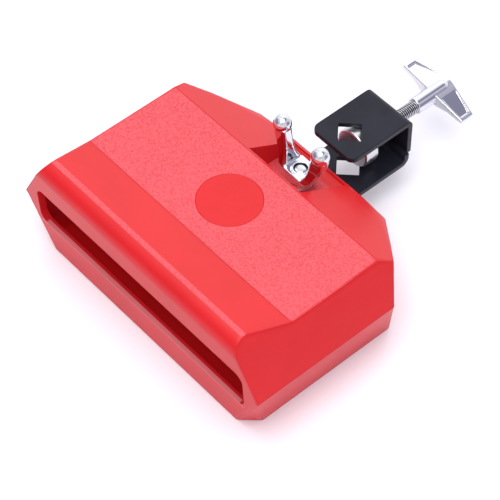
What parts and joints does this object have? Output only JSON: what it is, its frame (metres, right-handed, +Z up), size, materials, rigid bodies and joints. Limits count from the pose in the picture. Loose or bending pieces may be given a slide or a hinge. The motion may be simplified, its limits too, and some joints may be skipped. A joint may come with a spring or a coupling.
{
  "type": "block cowbell",
  "caption": "Hollow moulded-plastic block percussion bell with a front mouth slot, a raised striking lip and a swivelling steel rod clamp with a wing nut and a T-handle screw.",
  "frame": {"origin": "centre of the rest face under the middle of the flat playing face", "axes": "+Z up from the rest face, -Y towards the mouth, +Y towards the rod clamp and its handle, +X to the right seen from the mouth"},
  "size_m": [0.1916, 0.2311, 0.0772],
  "materials": {
    "shell_upper": "satin red, fine grain on the playing face",
    "shell_lower": "satin red",
    "zinc_steel": "bright zinc",
    "chrome_casting": "bright plating",
    "black_plate": "satin black coating",
    "bright_foot": "satin"
  },
  "bodies": {
    "block": {"shell_top": "shell_upper", "shell_base": "shell_lower", "tab_bush": "zinc_steel"},
    "bracket": {"bracket_jaw": "black_plate", "bracket_base": "black_plate", "weld_nut": "black_plate", "clamp_bolt": "zinc_steel"},
    "nut_carrier": {"nut_washer": "zinc_steel"},
    "wing_nut": {"wing_nut": "chrome_casting"},
    "foot": {"press_foot": "bright_foot"},
    "screw": {"clamp_screw": "zinc_steel", "t_handle": "chrome_casting", "foot_ring": "zinc_steel"}
  },
  "joints": [
    {"name": "bracket_swivel", "type": "hinge", "parent": "block", "child": "bracket", "pos_m": [0, 0.0485, 0.023], "axis": [0, 0, 1], "range_deg": [-25, 25]},
    {"name": "nut_lift", "type": "slide", "parent": "bracket", "child": "nut_carrier", "axis": [0, 0, 1], "range_m": [0, 0.00375]},
    {"name": "nut_spin", "type": "hinge", "parent": "nut_carrier", "child": "wing_nut", "pos_m": [0, 0.0485, 0.0391], "axis": [0, 0, 1], "range_deg": [0, 1080]},
    {"name": "foot_travel", "type": "slide", "parent": "bracket", "child": "foot", "axis": [0, -1, 0], "range_m": [-0.01, 0.01375]},
    {"name": "screw_spin", "type": "hinge", "parent": "foot", "child": "screw", "pos_m": [0, 0.1, 0.0354], "axis": [0, -1, 0], "range_deg": [-2880, 3960]}
  ],
  "couplings": [
    {"joint": "nut_lift", "follows": "nut_spin", "m_per_rad": 0.00019894},
    {"joint": "foot_travel", "follows": "screw_spin", "m_per_rad": 0.00019894}
  ]
}
